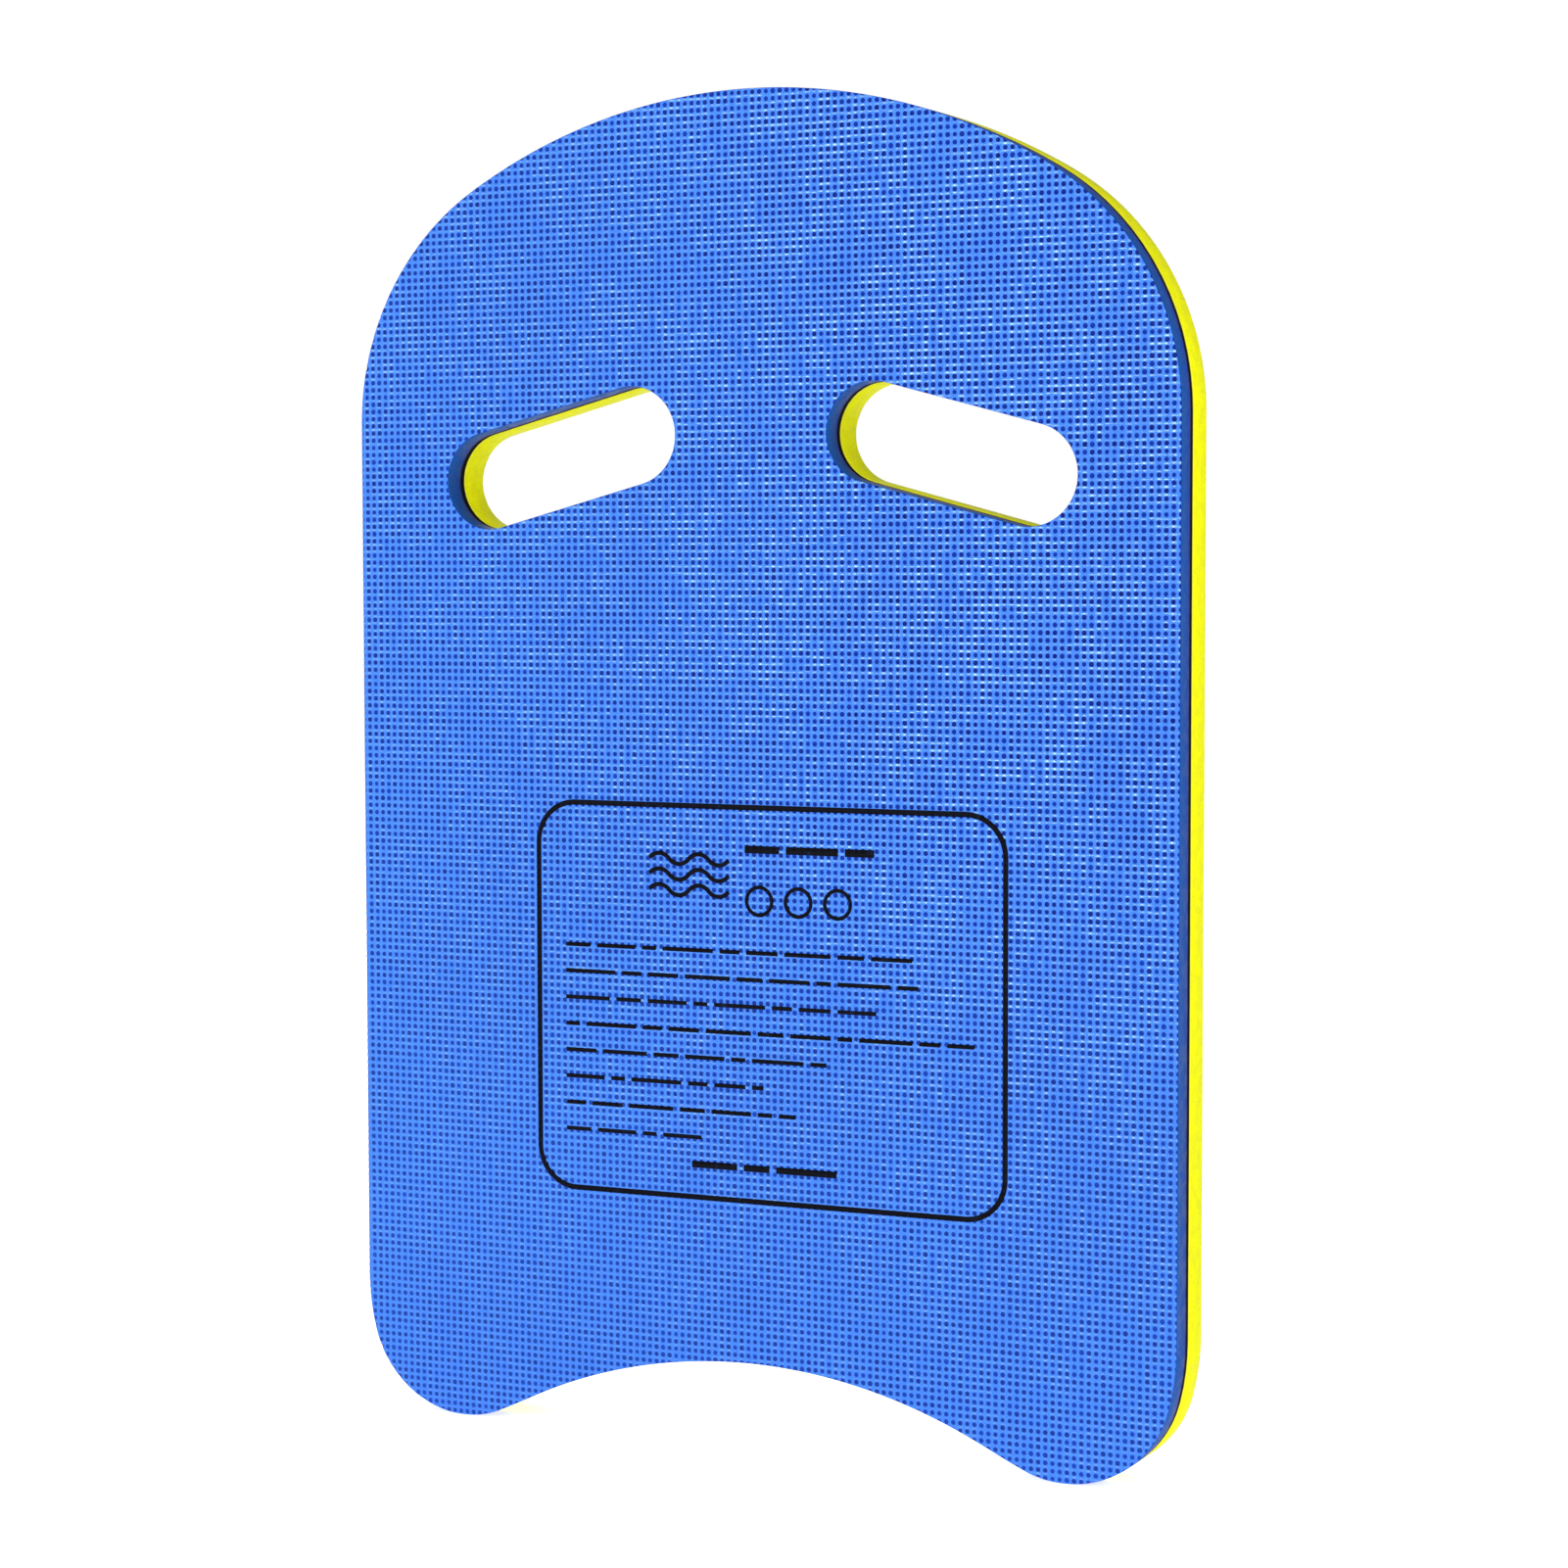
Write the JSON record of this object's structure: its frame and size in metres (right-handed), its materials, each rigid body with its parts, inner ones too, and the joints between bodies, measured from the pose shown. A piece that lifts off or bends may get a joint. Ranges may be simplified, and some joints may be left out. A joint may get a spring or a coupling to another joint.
{
  "type": "kickboard float",
  "caption": "Flat two-tone foam swimming float with an arched nose, twin tail lobes, tilted hand slots and a printed panel on an embossed face.",
  "frame": {"origin": "on the middle plane and half way through the thickness, level with the lowest points of the two tail lobes", "axes": "+Z from the tail to the nose, +X across the board, -Y out of the printed blue face"},
  "size_m": [0.285, 0.0231, 0.429],
  "materials": {
    "blue_foam": "matt, embossed with a square grid of round pits",
    "yellow_foam": "matt, embossed with a square grid of round pits, cut edges smooth",
    "adhesive": "dark, slightly glossy",
    "ink": "matt screen-printed ink"
  },
  "bodies": {
    "root": {"front_foam_sheet": "blue_foam", "back_foam_sheet": "yellow_foam", "bond_film": "adhesive", "print_frame": "ink", "print_wave_mark": "ink", "print_title_dashes": "ink", "print_ring_marks": "ink", "print_note_lines": "ink", "print_footer_dashes": "ink"}
  },
  "joints": []
}
